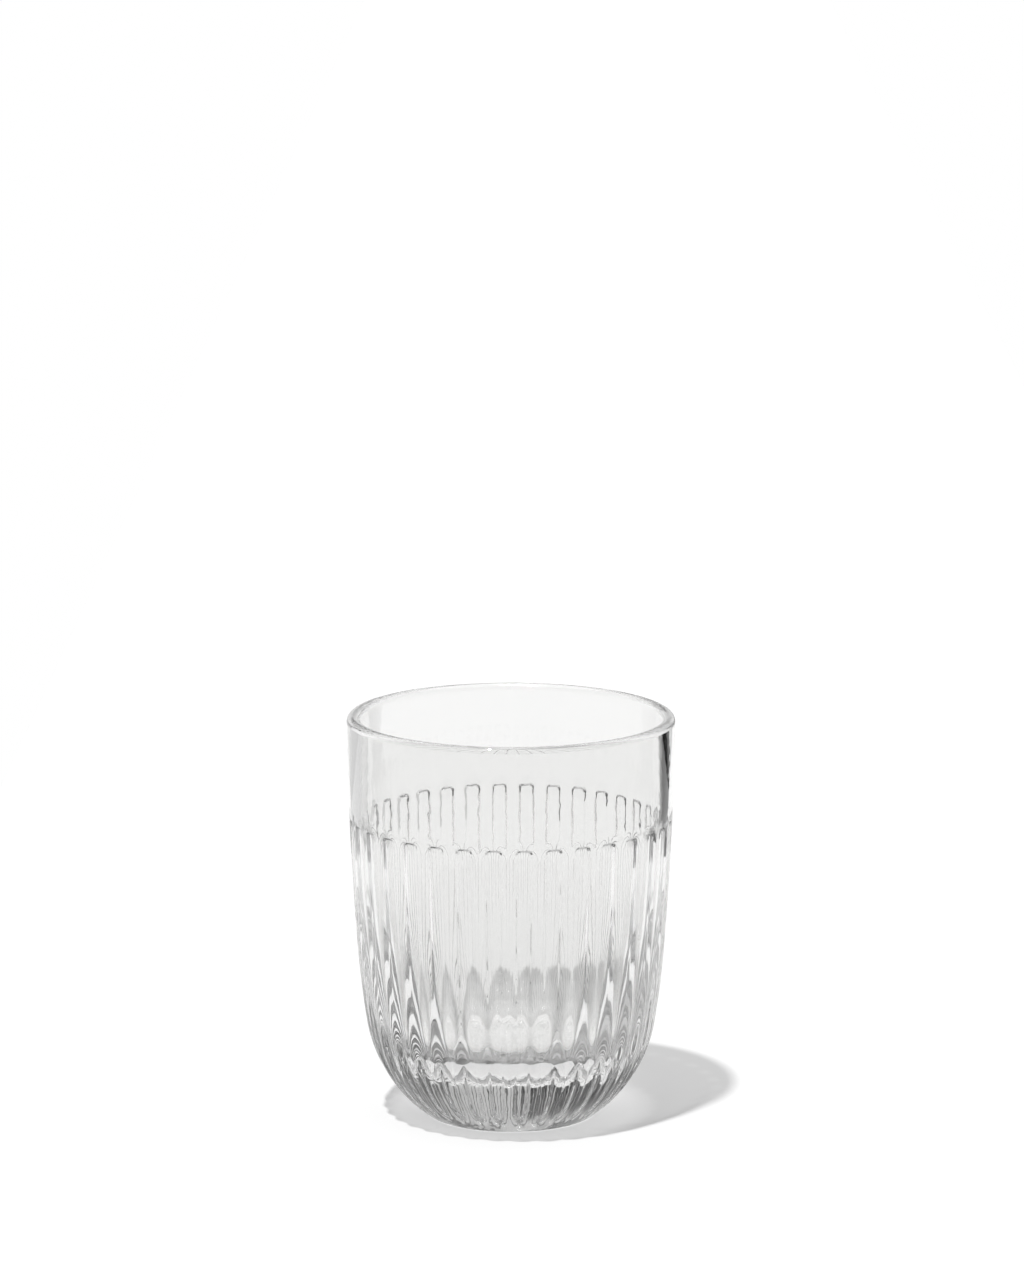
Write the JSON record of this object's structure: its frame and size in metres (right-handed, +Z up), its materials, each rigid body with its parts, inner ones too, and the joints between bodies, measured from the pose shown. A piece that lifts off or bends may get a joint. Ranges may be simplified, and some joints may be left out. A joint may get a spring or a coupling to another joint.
{
  "type": "juice glass",
  "caption": "Clear pressed-glass tumbler with a smooth rounded lip, narrow vertical flutes round the wall, a rounded shoulder and a thick base.",
  "frame": {"origin": "on the table, under the centre of the foot", "axes": "+Z up along the glass's axis; the middle of one flute lies along +X"},
  "size_m": [0.074, 0.074, 0.092],
  "materials": {
    "glass": "clear, colourless, fire-polished"
  },
  "bodies": {
    "root": {"tumbler": "glass"}
  },
  "joints": []
}
